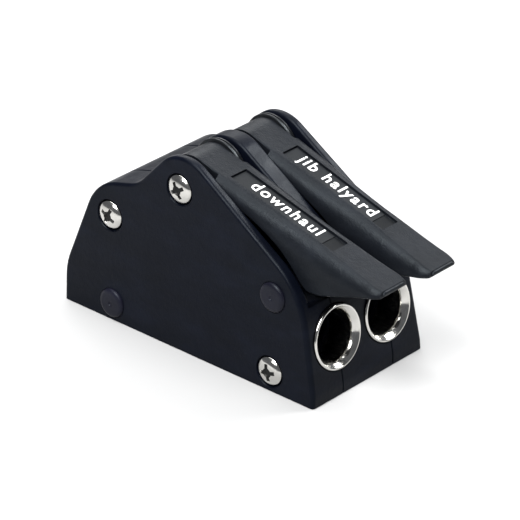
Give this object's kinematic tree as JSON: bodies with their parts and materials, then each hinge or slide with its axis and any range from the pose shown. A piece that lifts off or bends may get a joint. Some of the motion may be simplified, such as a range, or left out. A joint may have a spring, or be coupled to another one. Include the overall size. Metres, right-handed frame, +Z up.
{
  "type": "double rope clutch",
  "caption": "Rope clutch for two lines side by side: each line passes through a tunnel and is gripped by a toothed cam under a hand lever.",
  "frame": {"origin": "centre of the flat underside, midway between the two rope channels", "axes": "+X along the ropes towards the winch end and the lever tips, +Y towards the second module, +Z up from the deck"},
  "size_m": [0.1459, 0.0618, 0.0757],
  "materials": {
    "body_plastic": "satin black moulded plastic with a slight blue cast and a fine grain",
    "lever_plastic": "satin dark grey moulded plastic, smoother than the body",
    "label_plastic": "black label strip with white lettering",
    "bush_plastic": "grey bearing plastic",
    "bright_steel": "polished stainless steel",
    "cast_steel": "bead-blasted stainless casting and bar",
    "spring_steel": "drawn spring wire",
    "brass": "machined"
  },
  "bodies": {
    "housing": {"side_shell_near": "body_plastic", "side_shell_far": "body_plastic", "centre_body": "body_plastic", "hub_washer_near_inner": "bush_plastic", "hub_washer_near_outer": "bush_plastic", "cam_spacer_near": "bush_plastic", "jaw_plate_near": "cast_steel", "cam_spring_near": "spring_steel", "rope_ring_front_near": "bright_steel", "locating_plug_front_near": "body_plastic", "deck_insert_front_near": "brass", "rope_ring_rear_near": "bright_steel", "locating_plug_rear_near": "body_plastic", "deck_insert_rear_near": "brass", "pivot_screw_near": "bright_steel", "rear_screw_near": "bright_steel", "front_screw_near": "bright_steel", "hub_washer_far_inner": "bush_plastic", "hub_washer_far_outer": "bush_plastic", "cam_spacer_far": "bush_plastic", "jaw_plate_far": "cast_steel", "cam_spring_far": "spring_steel", "rope_ring_front_far": "bright_steel", "locating_plug_front_far": "body_plastic", "deck_insert_front_far": "brass", "rope_ring_rear_far": "bright_steel", "locating_plug_rear_far": "body_plastic", "deck_insert_rear_far": "brass", "pivot_screw_far": "bright_steel", "rear_screw_far": "bright_steel", "front_screw_far": "bright_steel", "lever_axle": "cast_steel", "cam_axle": "cast_steel", "tie_rod": "cast_steel"},
    "near_lever": {"lever_near": "lever_plastic", "label_near": "label_plastic", "lever_bush_near": "bush_plastic"},
    "far_lever": {"lever_far": "lever_plastic", "label_far": "label_plastic", "lever_bush_far": "bush_plastic"},
    "near_cam": {"cam_near": "cast_steel"},
    "far_cam": {"cam_far": "cast_steel"}
  },
  "joints": [
    {"name": "near_lever_open", "type": "hinge", "parent": "housing", "child": "near_lever", "pos_m": [-0.0045, -0.0135, 0.063], "axis": [0, -1, 0], "range_deg": [0, 140]},
    {"name": "near_cam_lift", "type": "hinge", "parent": "housing", "child": "near_cam", "pos_m": [-0.0382, -0.0135, 0.0415], "axis": [0, -1, 0], "range_deg": [0, 28.1]},
    {"name": "far_lever_open", "type": "hinge", "parent": "housing", "child": "far_lever", "pos_m": [-0.0045, 0.0135, 0.063], "axis": [0, -1, 0], "range_deg": [0, 140]},
    {"name": "far_cam_lift", "type": "hinge", "parent": "housing", "child": "far_cam", "pos_m": [-0.0382, 0.0135, 0.0415], "axis": [0, -1, 0], "range_deg": [0, 28.1]}
  ],
  "couplings": [
    {"joint": "near_cam_lift", "follows": "near_lever_open", "ratio": 0.2},
    {"joint": "far_cam_lift", "follows": "far_lever_open", "ratio": 0.2}
  ]
}
